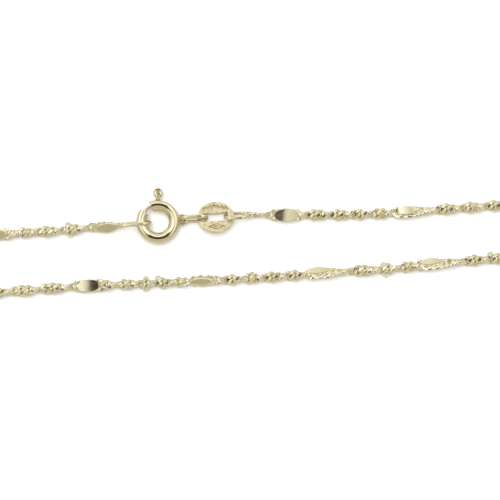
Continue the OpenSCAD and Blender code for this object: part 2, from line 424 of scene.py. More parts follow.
@dataclass(frozen=True)
class Twist:
    """How the chain's ribbon turns: it stands on edge at each waist and lies flat between two."""

    mirrors: MirrorRow
    end_length: float
    waists_by_hand: tuple[float, ...] = (
        4.11, 7.07, 10.27, 162.46, 166.16, 169.73, 175.65, 178.36, 180.46, 182.74, 185.02, 191.06,
        193.53, 196.37, 198.96, 204.13, 207.84, 210.31, 212.9, 218.19, 221.15, 223.99, 371.9,
        374.81, 377.76, 380.84, 386.14, 388.86, 391.2, 393.78, 396.86, 401.9,
    )
    mirror_half: float = 2.6
    mirror_reach: float = 4.6
    flat_half: float = 1.15
    plain_bulge: float = 2.45
    longest_bulge: float = 3.9
    fastest: float = 115.0

    def waists_round(self, number: int) -> tuple[float, float]:
        """Waists on both sides of a mirror.

        Args:
            number: its number along the chain.

        Returns:
            Lengths at the waist before it and the one after.
        """
        place = self.mirrors.place(number)
        seen = np.array(self.waists_by_hand)
        before = seen[(seen < place) & (seen > place - self.mirror_reach)]
        after = seen[(seen > place) & (seen < place + self.mirror_reach)]
        return (float(before[-1]) if len(before) else place - self.mirror_half,
                float(after[0]) if len(after) else place + self.mirror_half)

    def waists_between(self, start: float, stop: float) -> Array:
        """Lengths at the waists from one mirror's last to the next mirror's first.

        Args:
            start: length at the last waist of the mirror before.
            stop: length at the first waist of the mirror after.

        Returns:
            Lengths, with both ends, no further apart than the longest bulge.
        """
        seen = [w for w in self.waists_by_hand if start < w < stop]
        edges = [start, *seen, stop]
        found = [start]
        for a, b in zip(edges, edges[1:]):
            parts = round((b - a) / self.plain_bulge) if b - a > self.longest_bulge else 1
            found.extend(np.linspace(a, b, parts + 1)[1:])
        return np.array(found)

    @cached_property
    def stations(self) -> tuple[Array, Array]:
        """Lengths at the waists and round the mirrors, and the ribbon's roll there."""
        places: list[float] = []
        rolls: list[float] = []
        on_edge = 90.0
        last = None
        for number in range(1, self.mirrors.count + 1):
            before, after = self.waists_round(number)
            if last is not None:
                for waist in self.waists_between(last, before)[1:-1]:
                    on_edge -= 180.0
                    places.append(waist)
                    rolls.append(on_edge)
                on_edge -= 180.0
            middle = self.mirrors.place(number)
            roll = on_edge - 90.0 + self.mirrors.setting(number).roll
            places += [before, middle - self.flat_half, middle + self.flat_half, after]
            rolls += [on_edge, roll, roll, on_edge - 180.0]
            on_edge -= 180.0
            last = after
        places.append(self.end_length + self.plain_bulge / 2)
        rolls.append(on_edge - 180.0)
        return np.array(places), np.array(rolls)

    def roll(self, s: Array) -> Array:
        """Roll of the ribbon at lengths s, in degrees."""
        return np.interp(s, *self.stations)

    def rate(self, s: Array, reach: float = 0.4) -> Array:
        """How fast the ribbon turns round lengths s, in degrees a millimetre, up to the fastest."""
        return np.minimum((self.roll(s - reach) - self.roll(s + reach)) / (2 * reach), self.fastest)


@dataclass(frozen=True)
class LinkShape:
    """One round wire link, wound about its length, with flats cut on its edges and corners."""

    length: float = 2.0
    width: float = 1.64
    wire: float = 0.55
    turns: int = 28
    sides: int = 12
    edge_level: float = 0.73
    corner_level: float = 0.49
    corner_angle: float = 32.0
    face_level: float = 0.38

    @cached_property
    def ring(self) -> Array:
        """Points of the flat ring, before it is wound, turns times sides by 3."""
        q = np.arange(self.turns) / self.turns * FULL_TURN
        section = round_section(self.wire / 2, self.sides)
        half_l, half_w = (self.length - self.wire) / 2, (self.width - self.wire) / 2
        u = np.cos(q)[:, None] * (half_l + section[None, :, 0])
        v = np.sin(q)[:, None] * (half_w + section[None, :, 0])
        n = np.broadcast_to(section[None, :, 1], u.shape)
        return np.stack([u, v, n], -1).reshape(-1, 3)

    @cached_property
    def faces(self) -> Array:
        """Faces of a link."""
        return grid_faces(self.turns, self.sides, True, True)

    @cached_property
    def cuts(self) -> list[tuple[float, float, float]]:
        """The flats: each one's direction across and out, and its distance from the link's middle."""
        lean = math.radians(self.corner_angle)
        a, b = math.sin(lean), math.cos(lean)
        signs = [(i, j) for i in (1, -1) for j in (1, -1)]
        corners = [(i * a, j * b, self.corner_level) for i, j in signs]
        sides = [(i, 0.0, self.edge_level) for i in (1, -1)]
        return corners + sides + [(0.0, i, self.face_level) for i in (1, -1)]

    def wound(self, winding: Array) -> tuple[Array, Array]:
        """Shapes of links that are wound by different amounts, with their flats cut.

        Args:
            winding: how much each link is wound, in degrees a millimetre.

        Returns:
            Links by points by 3 array, and links by faces array of facet numbers.
        """
        u, v, n = (self.ring[None, :, i] for i in range(3))
        angle = -np.radians(winding)[:, None] * u
        across = v * np.cos(angle) - n * np.sin(angle)
        out = n * np.cos(angle) + v * np.sin(angle)
        for a, b, level in self.cuts:
            over = np.maximum(across * a + out * b - level, 0.0)
            across, out = across - over * a, out - over * b
        points = np.stack([np.broadcast_to(u, across.shape), across, out], -1)
        facets = np.zeros((len(winding), len(self.faces)), dtype=int)
        for number, (a, b, level) in enumerate(self.cuts, 1):
            on_cut = np.abs(across * a + out * b - level) < 1e-6
            facets[on_cut[:, self.faces].all(axis=2)] = number
        return points, facets


@dataclass(frozen=True)
class SingleLink:
    """A link whose place is given: its middle, the size of its ring and how it lies."""

    middle: tuple[float, float, float]
    length: float
    width: float
    wire: float
    heading: float = 0.0
    roll: float = 0.0
    rise: float = 0.0


@dataclass
class TwistedChain:
    """The loose links between the mirrors, interlocked and turned like a ribbon."""

    route: Route
    mirrors: MirrorRow
    twist: Twist
    gold: bpy.types.Material
    shape: LinkShape = field(default_factory=LinkShape)
    pitch: float = 0.96
    first_link: float = 0.66
    height: float = 0.755
    end_height: float = 0.92
    end_scale: float = 0.44
    end_taper: float = 3.2
    start_scale: float = 0.76
    start_taper: float = 4.6
    dwell: float = 10.0
    lead: float = 58.0
    lead_by_rate: float = 0.12
    pressed_half: float = 1.6
    pressed_taper: float = 0.8
    pressed_width: float = 1.06
    pressed_share: float = 0.4
    pressed_level: float = 0.11
    roll_play: float = 6.0
    yaw_play: float = 3.0
    side_play: float = 0.02
    last_left_mirror: int = 14
    seed: int = 7
    strays: tuple[tuple[float, float], ...] = (
        (5.96, 0.6), (5.8, -0.64), (179.5, 0.62), (179.4, -0.62), (181.0, 0.6), (192.55, 0.5),
        (208.7, 0.54), (208.9, -0.68), (221.9, 0.56),
    )
    stray_size: tuple[float, float, float] = (0.74, 0.6956, 0.18)
    stray_drop: float = 0.1
    stray_turn: float = 40.0
    stray_roll: float = 14.0
    single_steps: tuple[int, int] = (14, 10)
    start_link: SingleLink = SingleLink((-15.86, 4.06, 0.66), 1.2, 0.86, 0.19, 0, 38, 0)
    end_link: SingleLink = SingleLink((0.1, 4.31, 0.95), 1.06, 0.86, 0.2, 0, -8, 0)

    def link_places(self) -> Array:
        """Steps along the chain from link to link, shorter where they are smaller.

        Returns:
            Lengths along the chain of all its loose links.
        """
        places = [self.first_link]
        while places[-1] < self.route.length - self.pitch * self.end_scale:
            places.append(places[-1] + self.pitch * float(self.size(np.array(places[-1]))))
        return np.array(places)

    def to_end(self, s: Array) -> Array:
        """Share from 0 to 1 of the way into the drawn-in end beside the tag's ring."""
        return smooth_step(1.0 - (self.route.length - s) / self.end_taper)

    def size(self, s: Array) -> Array:
        """Share of their full size that the links at lengths s have: they are smaller at both ends."""
        to_start = smooth_step(1.0 - s / self.start_taper)
        return 1.0 - (1.0 - self.end_scale) * self.to_end(s) - (1.0 - self.start_scale) * to_start

    def pressed(self, s: Array) -> Array:
        """How far the links are pressed flat beside a mirror.

        Args:
            s: lengths along the chain.

        Returns:
            Shares from 0 to 1.
        """
        places = np.array([self.mirrors.place(k) for k in range(1, self.mirrors.count + 1)])
        away = np.abs(s[:, None] - places).min(axis=1)
        return 1.0 - smooth_step((away - self.pressed_half) / self.pressed_taper)

    def placed(self, s: Array) -> tuple[Array, Array]:
        """Where the points of the links at lengths s go.

        Args:
            s: lengths along the chain.

        Returns:
            Links by points by 3 array, and links by faces array of facet numbers.
        """
        draw = np.random.default_rng(self.seed)
        press = self.pressed(s)
        roll = self.twist.roll(s)
        roll = roll - self.dwell * (1.0 - press) * np.sin(2 * np.radians(roll))
        roll = roll + draw.uniform(-self.roll_play, self.roll_play, len(s))
        axes = self.route.axes(s, roll)
        yaw = np.radians(draw.uniform(-self.yaw_play, self.yaw_play, len(s)))
        side = draw.uniform(-self.side_play, self.side_play, (len(s), 3))
        rate = self.twist.rate(s)
        local, facets = self.shape.wound(rate * (1.0 + self.lead_by_rate) + self.lead)
        press = press[:, None]
        local[..., 1] *= 1.0 + (self.pressed_width - 1.0) * press
        local[..., 2] *= 1.0 + (self.pressed_share - 1.0) * press
        most = self.pressed_level + (1.0 - press)
        local[..., 2] = np.clip(local[..., 2], -most, most)
        local *= self.size(s)[:, None, None]
        c, k = np.cos(yaw)[:, None], np.sin(yaw)[:, None]
        local = np.stack([local[..., 0] * c - local[..., 2] * k, local[..., 1],
                          local[..., 2] * c + local[..., 0] * k], -1)
        height = self.height + (self.end_height - self.height) * self.to_end(s)
        middle = np.concatenate([self.route.at(s), height[:, None]], -1) + side
        return middle[:, None] + np.einsum("lpi,lij->lpj", local, axes), facets

    def add_single(self, form: Form, link: SingleLink) -> None:
        """Adds a link whose place is given.

        Args:
            form: the form that takes it.
            link: its size and place.
        """
        standing = oval_wire(link.length, link.width, link.wire, *self.single_steps)
        flat = standing[..., [0, 2, 1]] * [1, 1, -1]
        set_up = turned("Z", link.heading) @ turned("Y", -link.rise) @ turned("X", link.roll)
        form.add_grid(np.array(link.middle) + flat @ set_up.T, close_rows=True, close_columns=True)

    def build(self) -> None:
        """Makes both halves of the chain."""
        split = self.last_left_mirror
        meet = (self.mirrors.place(split) + self.mirrors.place(split + 1)) / 2
        places = self.link_places()
        points, facets = self.placed(places)
        for name, left in (("chain_left", True), ("chain_right", False)):
            form = Form()
            here = (places < meet) == left
            form.add_copies(self.shape.faces, facets[here], points[here])
            for number, (s, offset) in enumerate(self.strays):
                if (s < meet) == left:
                    x, y = self.route.at(np.array(s))
                    at = (x, y + offset, self.height - self.stray_drop)
                    self.add_single(form, SingleLink(at, *self.stray_size, self.stray_turn * number,
                                                     math.copysign(self.stray_roll, offset)))
            self.add_single(form, self.start_link if left else self.end_link)
            seat(form.build(f"{name}_links", self.gold), Body.NECKLACE, Slot.CHAIN, name)


@dataclass
class MirrorLeaf:
    """A stretch pressed flat: a thin leaf with a raised polished face, or the face alone if it is framed."""

    route: Route
    mirrors: MirrorRow
    gold: bpy.types.Material
    length: float = 3.1
    width: float = 1.5
    tip_width: float = 0.5
    shoulder: float = 0.62
    web: float = 0.4
    web_end: float = 0.14
    thickness: float = 0.47
    web_from: float = 0.8
    web_taper: float = 0.3
    edge: float = 0.04
    rows: int = 66
    columns: int = 34
    height: float = 0.767
    framed_lift: float = 0.09
    framed_tip: float = 0.002
    framed_rim: float = 0.9999
    slope_range: tuple[float, float] = (-0.12, 0.33)

    def leaf(self, setting: MirrorSetting) -> Array:
        """Points of the leaf in its own frame, one closed section for each row.

        Args:
            setting: the size and slopes of its polished face.

        Returns:
            Rows by section points by 3 array.
        """
        u = np.linspace(-1.0, 1.0, self.rows)[:, None]
        across = -np.cos(np.linspace(0.0, math.pi, self.columns))[None]
        power = setting.square
        if setting.framed:
            full = np.maximum(1.0 - np.abs(u) ** power, self.framed_tip) ** (1 / power)
            half_w = setting.width / 2 * full
            u = np.broadcast_to(setting.nudge + u * setting.face / 2, (self.rows, self.columns))
            v = setting.aside + across * half_w
            web = np.zeros_like(v)
            raised = np.broadcast_to(np.abs(across) < self.framed_rim, v.shape).astype(float)
        else:
            full = smooth_step((1.0 - np.abs(u)) / self.shoulder)
            half_w = (self.tip_width + (self.width - self.tip_width) * full) / 2
            taper = smooth_step((self.web_from - np.abs(u)) / self.web_taper)
            web = (self.web_end + (self.web - self.web_end) * taper) / 2 * np.sqrt(1.0 - across**4)
            u, v = np.broadcast_arrays(u * self.length / 2, across * half_w)
            x, y = (u - setting.nudge) / (setting.face / 2), (v - setting.aside) / (setting.width / 2)
            away = (np.abs(x) ** power + np.abs(y) ** power) ** (1 / power)
            raised = 1.0 - smooth_step((away - 1.0 + self.edge) / self.edge)
        x = (u - setting.nudge) / (setting.face / 2)
        angles = (setting.bow, setting.tip, setting.lean, setting.wind)
        bow, tip, lean, wind = (math.tan(math.radians(a)) for a in angles)
        slope = setting.face / 2 * (bow / 2 * (1 / 3 - x**2) + tip * x)
        slope = slope + (lean + wind * x) * (v - setting.aside)
        if setting.framed:
            slope = slope - slope.min() + self.framed_lift
        face = self.thickness / 2 + np.clip(slope, *self.slope_range)
        top = web + (np.maximum(face, web) - web) * raised
        back = -web - (self.thickness / 2 - web) * raised
        ring = np.concatenate([np.stack([u, v, top], -1), np.stack([u, v, back], -1)[:, -2:0:-1]], 1)
        return ring[:, ::-1]

    def build(self, number: int) -> None:
        """Makes one mirror.

        Args:
            number: its number along the chain.
        """
        setting = self.mirrors.setting(number)
        s = np.array([self.mirrors.place(number)])
        axes = self.route.axes(s, np.array([setting.roll]))[0]
        middle = np.append(self.route.at(s)[0], self.height)
        grid = middle + self.leaf(setting) @ axes
        form = Form()
        form.cap_ends(form.add_grid(grid, close_columns=True), grid.shape[1])
        seat(form.build(f"mirror_leaf_{number:02d}", self.gold), Body.NECKLACE, Slot.MIRROR,
             f"mirror_{number:02d}")


@dataclass
class SpringRing:
    """The round clasp: its tube with mouth, slot and eyelet, and the sprung bolt with its knob."""

    gold: bpy.types.Material
    at: tuple[float, float, float] = (-11.03, 4.2, 1.017)
    lean: float = 4.0
    ring_r: float = 2.0
    tube_d: float = 1.3
    bore_d: float = 0.64
    gap: tuple[float, float] = (111.0, 142.0)
    bore_end: float = 17.0
    socket_end: float = 156.0
    slot: tuple[float, float] = (35.9, 96.1)
    slot_half_height: float = 0.25
    mouth_round: float = 0.04
    eyelet_r: float = 0.55
    eyelet_wire: float = 0.3
    eyelet_out: float = 3.0
    eyelet_angle: float = 1.2
    bolt_r: float = 2.04
    bolt_d: float = 0.46
    bolt_arc: tuple[float, float] = (60.0, 150.0)
    bolt_sides: int = 24
    nose_share: float = 0.72
    nose_step: float = 1.5
    knob_angle: float = 86.0
    knob_r: float = 3.52
    knob_d: float = 1.18
    knob_t: float = 0.5
    knob_rim: float = 0.1
    neck_w: float = 0.6
    neck_t: float = 0.4
    neck_bite: float = 0.02
    neck_flare: tuple[float, float, float] = (0.06, 0.75, 0.25)
    head_edge: tuple[float, float] = (0.1, 0.25)
    dish: tuple[float, float, float] = (0.035, 0.26, 0.16)
    dimple_out: float = 0.12
    dimple_d: float = 0.36
    dimple_deep: float = 0.3
    dimple_ease: float = 0.12
    groove_w: float = 0.12
    groove_deep: float = 0.05
    groove_ease: float = 0.1
    eyelet_steps: tuple[int, int] = (48, 20)
    tube_sides: int = 48
    crest_out: float = 0.08
    degrees_a_step: float = 2.5

    def place(self, grid: Array) -> Array:
        """Moves points from the clasp's own frame to where the clasp lies."""
        return np.array(self.at) + grid @ turned("Y", self.lean).T

    def sweep(self, section: Array, angles: Array, radius: float) -> Array:
        """Carries a section round part of the ring.

        Args:
            section: offsets outward and upward, or one such set for each angle.
            angles: angles round the ring in degrees.
            radius: radius of the section's middle.

        Returns:
            Angles by points by 3 array.
        """
        q = np.radians(angles)[:, None]
        section = np.broadcast_to(section, (len(angles), *section.shape[-2:]))
        out = radius + section[..., 0]
        return np.stack([np.cos(q) * out, np.sin(q) * out, section[..., 1]], -1)

    def lay(self, form: Form, section: Array, angles: Array) -> int:
        """Adds a tube or a band swept round the ring's middle, where the clasp lies.

        Args:
            form: the form that takes it.
            section: closed section, or one for each angle.
            angles: angles round the ring in degrees.

        Returns:
            Number of its first point.
        """
        return form.add_grid(self.place(self.sweep(section, angles, self.ring_r)), close_columns=True)

    def steps(self, start: float, stop: float) -> Array:
        """Angles from start to stop in steps of about the set size."""
        return np.linspace(start, stop, max(2, round(abs(stop - start) / self.degrees_a_step) + 1))

    def outer_sections(self, angles: Array) -> Array:
        """Outer section of the tube, a little smaller right at its two mouths.

        Args:
            angles: angles round the ring in degrees.

        Returns:
            Angles by points by 2 array of offsets outward and upward.
        """
        near = np.minimum(np.abs(angles - self.gap[1]), np.abs(angles - self.gap[0] - 360.0))
        near = np.minimum(near, np.abs(angles - self.gap[0]))
        along = np.radians(near) * self.ring_r / self.mouth_round
        inset = self.mouth_round * (1.0 - np.sqrt(1.0 - np.clip(1.0 - along, 0.0, 1.0) ** 2))
        scale = 1.0 - inset / (self.tube_d / 2)
        section = round_section(self.tube_d / 2, self.tube_sides)
        section[:, 0] += self.crest_out * np.clip(section[:, 1] * 2 / self.tube_d, 0.0, 1.0) ** 2
        return section[None] * scale[:, None, None]

    def slotted_section(self) -> Array:
        """Section of the tube where the knob's slot cuts it through to the bore.

        Returns:
            Points by 2 array of offsets outward and upward, all round it.
        """
        outer, inner = self.tube_d / 2, self.bore_d / 2
        a, b = (math.asin(self.slot_half_height / r) for r in (outer, inner))
        wide = np.linspace(a, FULL_TURN - a, self.tube_sides)
        tight = np.linspace(FULL_TURN - b, b, self.tube_sides // 2)
        arcs = [arc(radius, q) for q, radius in ((wide, outer), (tight, inner))]
        arcs[0][:, 0] += self.crest_out * np.clip(np.sin(wide), 0.0, 1.0) ** 2
        return np.concatenate(arcs)

    def body(self) -> None:
        """Makes the tube with its bore, slot and eyelet."""
        form = Form()
        bore = round_section(self.bore_d / 2, self.tube_sides)[::-1]
        fine = math.degrees(self.mouth_round / self.ring_r) * np.array([0.0, 0.25, 0.6, 1.0])
        mouth, far_mouth = self.gap[1] + fine, self.gap[0] - fine[::-1]
        runs = [np.concatenate([mouth, self.steps(mouth[-1], self.slot[0] + 360.0)[1:]]),
                np.concatenate([self.steps(self.slot[1], far_mouth[0])[:-1], far_mouth])]
        for angles in runs:
            self.lay(form, self.outer_sections(angles), angles)
        self.lay(form, self.slotted_section(), self.steps(*self.slot))
        for start, stop in ((self.bore_end, self.slot[0]), (self.slot[1], self.gap[0]),
                            (self.gap[1], self.socket_end)):
            self.lay(form, bore, self.steps(start, stop))
        self.close_ends(form)
        turns, sides = self.eyelet_steps
        ring = round_section(self.eyelet_wire / 2, sides)
        eyelet = self.sweep(ring, np.linspace(0.0, 360.0, turns + 1)[:-1], self.eyelet_r)
        centre = turned("Z", self.eyelet_angle) @ [self.eyelet_out, 0.0, 0.0]
        form.add_grid(self.place(eyelet + centre), close_rows=True, close_columns=True)
        seat(form.build("clasp_tube", self.gold), Body.NECKLACE, Slot.CLASP, "spring_ring_body")

    def close_ends(self, form: Form) -> None:
        """Closes the tube's mouths, the ends of its bore and the ends of the knob's slot.

        Args:
            form: the tube's form.
        """
        outer = round_section(self.tube_d / 2 - self.mouth_round, self.tube_sides)
        inner = round_section(self.bore_d / 2, self.tube_sides)
        for angle in self.gap:
            self.lay(form, np.stack([outer, outer * 0.6 + inner * 0.4, inner]), np.full(3, angle))
        for angle in (self.bore_end, self.socket_end):
            start = self.lay(form, np.stack([inner, inner * 0.5]), np.full(2, angle))
            form.add_cap(list(range(start + self.tube_sides, start + 2 * self.tube_sides)))
        a, b = (math.asin(self.slot_half_height / r) for r in (self.tube_d / 2, self.bore_d / 2))
        q, p = np.linspace(-a, a, 9), np.linspace(b, -b, 9)
        lips = np.stack([arc(self.tube_d / 2, q), arc(self.bore_d / 2, p[::-1])])
        for angle in self.slot:
            form.add_grid(self.place(self.sweep(lips, np.full(2, angle), self.ring_r)))

    def knob_outline(self) -> Array:
        """Outline of the knob's head and neck from above.

        Returns:
            n by 2 array of points round the head's middle.
        """
        r, half = self.knob_d / 2, self.neck_w / 2
        join = math.asin((half - self.neck_bite) / r)
        more, start, ease = self.neck_flare
        q = np.linspace(-math.pi + join, math.pi - join, 72)
        runs = np.linspace(-r * math.cos(join) - more, self.ring_r - self.knob_r, 14)
        flare = half + more * smooth_step((-runs - start) / ease)
        upper = np.stack([runs, flare], -1)
        return np.concatenate([arc(r, q), upper, (upper * [1, -1])[::-1]])

    def in_head(self, x: Array) -> Array:
        """Share from 0 in the neck to 1 in the head at offsets x outward."""
        reach, ease = self.head_edge
        return smooth_step((x + self.knob_d / 2 + reach) / ease)

    def knob_top(self, x: Array, y: Array) -> Array:
        """Hollows of the knob's top face.

        Args:
            x: offsets outward from the head's middle.
            y: offsets across.

        Returns:
            Depth below the rim.
        """
        head = self.in_head(x)
        away = np.hypot(x - self.dimple_out, y) - self.dimple_d / 2 + self.dimple_ease / 2
        dimple = self.dimple_deep * (1.0 - smooth_step(away / self.dimple_ease))
        deep, flat, ease = self.dish
        dish = deep * (1.0 - smooth_step((np.hypot(x, y) - flat) / ease)) * head
        line = smooth_step((self.dimple_out - x) / self.groove_ease)
        groove = self.groove_deep * np.exp(-(y / self.groove_w) ** 2) * line
        return dimple + np.maximum(dish, groove) + (1.0 - head) * (self.knob_t - self.neck_t) / 2

    def knob(self, form: Form) -> None:
        """Adds the knob's head and neck.

        Args:
            form: the bolt's form.
        """
        outline = self.knob_outline()
        ahead, behind = np.roll(outline, -1, 0), np.roll(outline, 1, 0)
        along = ahead - behind
        inward = np.stack([-along[:, 1], along[:, 0]], -1)
        inward /= np.linalg.norm(inward, axis=1, keepdims=True)
        half_t = self.knob_t / 2 - (1.0 - self.in_head(outline[:, 0])) * (self.knob_t - self.neck_t) / 2
        rings = []
        turn = [(1, a) for a in np.linspace(0.0, math.pi / 2, 6)]
        for sign, a in [(-1, a) for _, a in turn[::-1]] + turn:
            level = sign * (half_t - self.knob_rim * (1.0 - math.sin(a)))
            inset = self.knob_rim * (1.0 - math.cos(a))
            rings.append(level_ring(outline + inward * inset, level))
        rim = rings[-1][:, :2]
        hub = np.array([self.dimple_out, 0.0])
        for share in np.linspace(0.0, 1.0, 22)[1:]:
            spread = rim * (1.0 - share) + hub * share
            level = self.knob_t / 2 - self.knob_top(spread[:, 0], spread[:, 1])
            rings.append(level_ring(spread, level))
        grid = np.stack(rings) + [self.knob_r, 0.0, 0.0]
        start = form.add_grid(self.place(grid @ turned("Z", self.knob_angle).T), close_columns=True)
        form.add_cap(list(range(start + len(outline) - 1, start - 1, -1)))

    def bolt(self) -> None:
        """Makes the sliding bolt with its knob."""
        form = Form()
        angles = self.steps(*self.bolt_arc)
        wire = round_section(self.bolt_d / 2, self.bolt_sides)
        nose = wire * self.nose_share
        sections = np.stack([nose] + [wire] * (len(angles) - 1) + [nose])
        angles = np.insert(angles, 1, angles[0] + self.nose_step)
        grid = self.place(self.sweep(sections, angles, self.bolt_r))
        form.cap_ends(form.add_grid(grid, close_columns=True), self.bolt_sides)
        self.knob(form)
        seat(form.build("clasp_bolt", self.gold), Body.BOLT, Slot.CLASP, "spring_ring_bolt")


@dataclass(frozen=True)
class StandingRing:
    """A closed oval wire ring that stands on the table and leans a little."""

    gold: bpy.types.Material
    node: str
    at: tuple[float, float]
    length: float
    height: float
    wire: float
    lean: float
    heading: float = 0.0

    def build(self) -> None:
        """Makes the ring."""
        z = (self.height - self.wire) / 2 * math.cos(math.radians(self.lean)) + self.wire / 2
        set_up = turned("Z", self.heading) @ turned("X", self.lean)
        form = Form()
        grid = oval_wire(self.length, self.height, self.wire) @ set_up.T + [*self.at, z]
        form.add_grid(grid, close_rows=True, close_columns=True)
        seat(form.build(f"{self.node}_wire", self.gold), Body.NECKLACE, Slot.RING, self.node)


@dataclass
class OvalTag:
    """The flat oval tag with its long slot and its punched border of plain strokes."""

    gold: bpy.types.Material
    at: tuple[float, float, float] = (-3.95, 4.27, 0.92)
    lean: float = 18.0
    length: float = 4.5
    width: float = 3.97
    thickness: float = 0.3
    slot_length: float = 3.08
    slot_width: float = 1.14
    slot_bow: float = 0.08
    slot_shift: float = -0.02
    rim: float = 0.07
    lip_share: float = 0.6
    turns: int = 460
    steps: int = 52
    stroke_deep: float = 0.17
    stroke_edge: float = 0.05
    stroke_half: tuple[float, float] = (0.17, 0.03)
    stroke_lean: float = 0.3
    strokes_aside: int = 6
    strokes_at: tuple[float, float, float] = (1.42, 1.36, 0.3)
    lozenge_at: tuple[float, float] = (0.05, -1.22)
    lozenge_half: tuple[float, float] = (0.88, 0.34)
    lozenge_line: tuple[float, float] = (0.3, 0.02)
    dot_pitch: float = 0.24
    dot_r: float = 0.05

    @cached_property
    def angles(self) -> Array:
        """Directions from the slot's middle, with the slot's four corners among them."""
        corner = math.atan2(self.slot_width, self.slot_length)
        corners = [corner, math.pi - corner, math.pi + corner, FULL_TURN - corner]
        even = np.arange(self.turns) / self.turns * FULL_TURN
        keep = np.min(np.abs(even[:, None] - corners), axis=1) > 0.3 * FULL_TURN / self.turns
        return np.sort(np.concatenate([even[keep], corners]))

    @cached_property
    def outer(self) -> Array:
        """Points of the oval outline in those directions, n by 2."""
        c, k = np.cos(self.angles), np.sin(self.angles)
        a, b, x0 = self.length / 2, self.width / 2, self.slot_shift
        qa = (c / a) ** 2 + (k / b) ** 2
        qb = 2 * x0 * c / a**2
        qc = (x0 / a) ** 2 - 1
        reach = (-qb + np.sqrt(qb**2 - 4 * qa * qc)) / (2 * qa)
        return np.stack([x0 + reach * c, reach * k], -1)

    @cached_property
    def inner(self) -> Array:
        """Points of the slot's outline in those directions, n by 2."""
        c, k = np.abs(np.cos(self.angles)), np.abs(np.sin(self.angles))
        half_l, middle = self.slot_length / 2, self.slot_width / 2 - self.slot_bow
        qa = self.slot_bow * (c / half_l) ** 2
        long_side = 2 * middle / (k + np.sqrt(np.maximum(k**2 - 4 * qa * middle, 1e-12)))
        long_side = np.where(k * half_l > c * middle, long_side, np.inf)
        reach = np.minimum(long_side, half_l / np.maximum(c, TINY))
        return arc(reach[:, None], self.angles) + [self.slot_shift, 0.0]

    def strokes(self, x: Array, y: Array) -> Array:
        """Plain punched strokes, the lozenge and its dots.

        Args:
            x: offsets along the tag.
            y: offsets across it.

        Returns:
            Depth below the top face.
        """
        half, line = self.stroke_half
        out, top, drop = self.strokes_at
        over = []
        for number in range(-self.strokes_aside, self.strokes_aside + 1):
            share = number / self.strokes_aside
            dx, dy = x - out * share, y - top + drop * share**2
            c, k = math.cos(self.stroke_lean), math.sin(self.stroke_lean) * (1 if number % 2 else -1)
            over.append(np.hypot(dx * c - dy * k, np.maximum(np.abs(dx * k + dy * c) - half, 0.0)) - line)
        u, v = x - self.lozenge_at[0], y - self.lozenge_at[1]
        scale, line = self.lozenge_line
        wide, high = self.lozenge_half
        over.append(np.abs(np.abs(u) / wide + np.abs(v) / high - 1.0) * scale - line)
        over += [np.hypot(u - self.dot_pitch * number, v) - self.dot_r for number in (-1, 0, 1)]
        deep = np.max([1.0 - smooth_step(away / self.stroke_edge) for away in over], axis=0)
        return deep * self.stroke_deep

    def build(self) -> None:
        """Makes the tag."""
        half_t = self.thickness / 2
        inward = self.inner - self.outer
        inward = inward / np.linalg.norm(inward, axis=1, keepdims=True)
        quarter = np.linspace(0.0, math.pi / 2, 5)
        profile = [(self.rim * (1 - math.cos(a)), half_t - self.rim * (1 - math.sin(a))) for a in quarter]
        rings = [level_ring(self.outer + inward * inset, z)
                 for inset, z in [(i, -z) for i, z in profile[::-1]] + profile]
        lip = self.rim * self.lip_share
        edge, stop = self.outer + inward * self.rim, self.inner - inward * lip
        for share in np.linspace(0.0, 1.0, self.steps)[1:-1]:
            flat = edge + (stop - edge) * share
            rings.append(level_ring(flat, half_t - self.strokes(flat[:, 0], flat[:, 1])))
        lips = [(lip * (1 - math.sin(a)), half_t - lip * (1 - math.cos(a))) for a in quarter]
        rings += [level_ring(self.inner - inward * inset, z)
                  for inset, z in lips + [(i, -z) for i, z in lips[::-1]]]
        grid = np.stack(rings) @ turned("X", -self.lean).T + self.at
        form = Form()
        form.add_grid(grid, close_rows=True, close_columns=True)
        seat(form.build("tag_plate", self.gold), Body.NECKLACE, Slot.TAG, "tag")


def set_sockets(node: bpy.types.Node, values: dict[str, object]) -> bpy.types.Node:
    """Sets a node's named inputs and hands the node back."""
    for label, value in values.items():
        node.inputs[label].default_value = value
    return node


